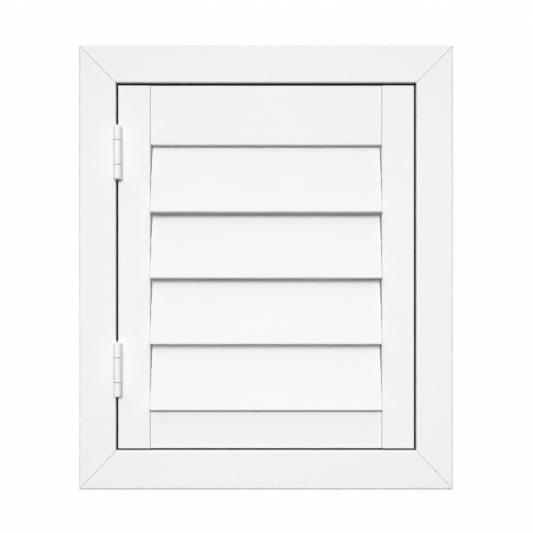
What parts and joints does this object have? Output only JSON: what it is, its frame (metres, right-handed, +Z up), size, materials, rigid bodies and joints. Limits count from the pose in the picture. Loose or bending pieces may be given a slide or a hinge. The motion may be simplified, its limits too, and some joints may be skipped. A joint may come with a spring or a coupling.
{
  "type": "louvred shutter",
  "caption": "Louvred window shutter: a mitred frame with a side-hung panel on butt hinges, whose tilting louvres are joined by a hidden tilt bar.",
  "frame": {"origin": "middle of the frame's underside, half-way through the frame's depth", "axes": "+Z up, -Y the front that faces the room, hinges at -X"},
  "size_m": [0.44, 0.0555, 0.5223],
  "materials": {
    "frame_paint": "white satin paint on wood",
    "panel_paint": "white satin paint on wood",
    "louvre_paint": "white satin paint on wood",
    "hinge_paint": "white enamel on steel",
    "nylon": "moulded nylon",
    "seal_rubber": "matt black rubber strip",
    "bare_wood": "bare beech",
    "steel": "plated steel",
    "alloy": "mill finish strip"
  },
  "bodies": {
    "frame": {"jamb_left": "frame_paint", "jamb_right": "frame_paint", "head": "frame_paint", "sill": "frame_paint", "corner_keys": "nylon", "seal_left": "seal_rubber", "seal_right": "seal_rubber", "seal_head": "seal_rubber", "seal_sill": "seal_rubber", "hinge_upper_frame_leaf": "hinge_paint", "hinge_lower_frame_leaf": "hinge_paint", "hinge_upper_pin": "steel", "hinge_lower_pin": "steel", "frame_hinge_screws": "steel", "magnets": "steel"},
    "panel": {"stile_left": "panel_paint", "stile_right": "panel_paint", "rail_top": "panel_paint", "rail_bottom": "panel_paint", "rail_dowels": "bare_wood", "hinge_upper_panel_leaf": "hinge_paint", "hinge_lower_panel_leaf": "hinge_paint", "panel_hinge_screws": "steel", "strike_plates": "steel", "tension_screw": "steel"},
    "louvre_1": {"louvre_1_blade": "louvre_paint", "louvre_1_pins": "nylon", "louvre_1_clip": "nylon"},
    "louvre_2": {"louvre_2_blade": "louvre_paint", "louvre_2_pins": "nylon", "louvre_2_clip": "nylon"},
    "louvre_3": {"louvre_3_blade": "louvre_paint", "louvre_3_pins": "nylon", "louvre_3_clip": "nylon"},
    "louvre_4": {"louvre_4_blade": "louvre_paint", "louvre_4_pins": "nylon", "louvre_4_clip": "nylon"},
    "tilt_bar": {"tilt_bar": "alloy"}
  },
  "joints": [
    {"name": "panel_swing", "type": "hinge", "parent": "frame", "child": "panel", "pos_m": [-0.1733, -0.02795, 0.26116], "axis": [0, 0, -1], "range_deg": [0, 140]},
    {"name": "louvre_1_tilt", "type": "hinge", "parent": "panel", "child": "louvre_1", "pos_m": [0, -0.0135, 0.36791], "axis": [-1, 0, 0], "range_deg": [0, 110]},
    {"name": "louvre_2_tilt", "type": "hinge", "parent": "panel", "child": "louvre_2", "pos_m": [0, -0.0135, 0.29091], "axis": [-1, 0, 0], "range_deg": [0, 110]},
    {"name": "louvre_3_tilt", "type": "hinge", "parent": "panel", "child": "louvre_3", "pos_m": [0, -0.0135, 0.21391], "axis": [-1, 0, 0], "range_deg": [0, 110]},
    {"name": "louvre_4_tilt", "type": "hinge", "parent": "panel", "child": "louvre_4", "pos_m": [0, -0.0135, 0.13691], "axis": [-1, 0, 0], "range_deg": [0, 110]},
    {"name": "tilt_bar_link", "type": "hinge", "parent": "louvre_1", "child": "tilt_bar", "pos_m": [0.1184, 0.0058, 0.4205], "axis": [-1, 0, 0], "range_deg": [-110, 0]}
  ],
  "couplings": [
    {"joint": "louvre_2_tilt", "follows": "louvre_1_tilt", "ratio": 1},
    {"joint": "louvre_3_tilt", "follows": "louvre_1_tilt", "ratio": 1},
    {"joint": "louvre_4_tilt", "follows": "louvre_1_tilt", "ratio": 1},
    {"joint": "tilt_bar_link", "follows": "louvre_1_tilt", "ratio": -1}
  ]
}
